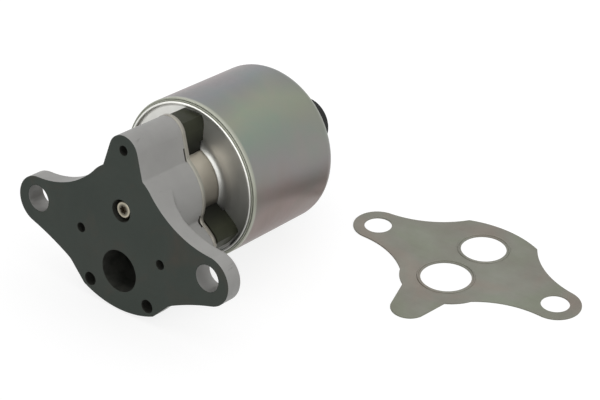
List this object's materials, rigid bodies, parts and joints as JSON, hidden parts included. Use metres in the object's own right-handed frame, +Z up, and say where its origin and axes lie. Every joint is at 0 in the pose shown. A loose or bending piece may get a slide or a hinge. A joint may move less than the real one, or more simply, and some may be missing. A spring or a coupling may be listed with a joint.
{
  "type": "exhaust gas recirculation valve",
  "caption": "Solenoid exhaust gas recirculation valve lying on its side, with sliding pintle, position sensor, plug cap and a loose flange gasket.",
  "frame": {"origin": "midway between the two mounting holes, on the mounting face", "axes": "+Z up from the surface it lies on, +X from mounting hole to mounting hole, +Y level from the flange towards the solenoid; the valve's own axis leans down from +Y by 5.93 degrees"},
  "size_m": [0.1512, 0.1105, 0.0583],
  "materials": {
    "casting": "satin",
    "seat_steel": "machined",
    "pintle_steel": "satin",
    "bronze": "satin",
    "seal_carbon": "matte",
    "sheet_steel": "satin",
    "spacer_steel": "polished",
    "screw_steel": "satin",
    "neck_steel": "brushed",
    "plate_steel": "brushed",
    "zinc": "satin plated",
    "soft_iron": "machined",
    "thin_sleeve": "polished",
    "bobbin_plastic": "moulded",
    "copper": "enamelled",
    "spring_steel": "drawn",
    "sensor_plastic": "moulded",
    "board": "ceramic",
    "cap_plastic": "moulded",
    "seal_rubber": "matte",
    "terminal_tin": "plated",
    "gasket_steel": "satin"
  },
  "bodies": {
    "root": {"base_casting": "casting", "valve_seat": "seat_steel", "stem_guide": "bronze", "stem_seal": "seal_carbon", "seal_retainer": "sheet_steel", "heat_shield": "sheet_steel", "spacer_top": "spacer_steel", "spacer_right": "spacer_steel", "spacer_left": "spacer_steel", "housing_screws": "screw_steel", "neck_tube": "neck_steel", "base_plate": "plate_steel", "can": "zinc", "lower_pole": "soft_iron", "upper_pole": "soft_iron", "pole_sleeve": "thin_sleeve", "bobbin": "bobbin_plastic", "coil": "copper", "return_spring": "spring_steel", "sensor_spring": "spring_steel", "sensor_board": "board", "cap": "cap_plastic", "cap_seal": "seal_rubber", "terminal_1": "terminal_tin", "terminal_2": "terminal_tin", "terminal_3": "terminal_tin", "terminal_4": "terminal_tin", "terminal_5": "terminal_tin", "gasket": "gasket_steel"},
    "pintle": {"pintle": "pintle_steel", "armature": "soft_iron", "armature_nut": "screw_steel"},
    "sensor": {"sensor_rod": "sensor_plastic", "wiper_carrier": "sensor_plastic"}
  },
  "joints": [
    {"name": "pintle_lift", "type": "slide", "parent": "root", "child": "pintle", "axis": [0, 0.9946, -0.1034], "range_m": [0, 0.004], "stiffness_N_per_m": 1500, "springref_m": -0.006, "deforming": ["return_spring"]},
    {"name": "sensor_slide", "type": "slide", "parent": "root", "child": "sensor", "axis": [0, 0.9946, -0.1034], "range_m": [0, 0.004], "stiffness_N_per_m": 150, "springref_m": -0.006, "deforming": ["sensor_spring"]}
  ],
  "couplings": [
    {"joint": "sensor_slide", "follows": "pintle_lift", "ratio": 1}
  ]
}
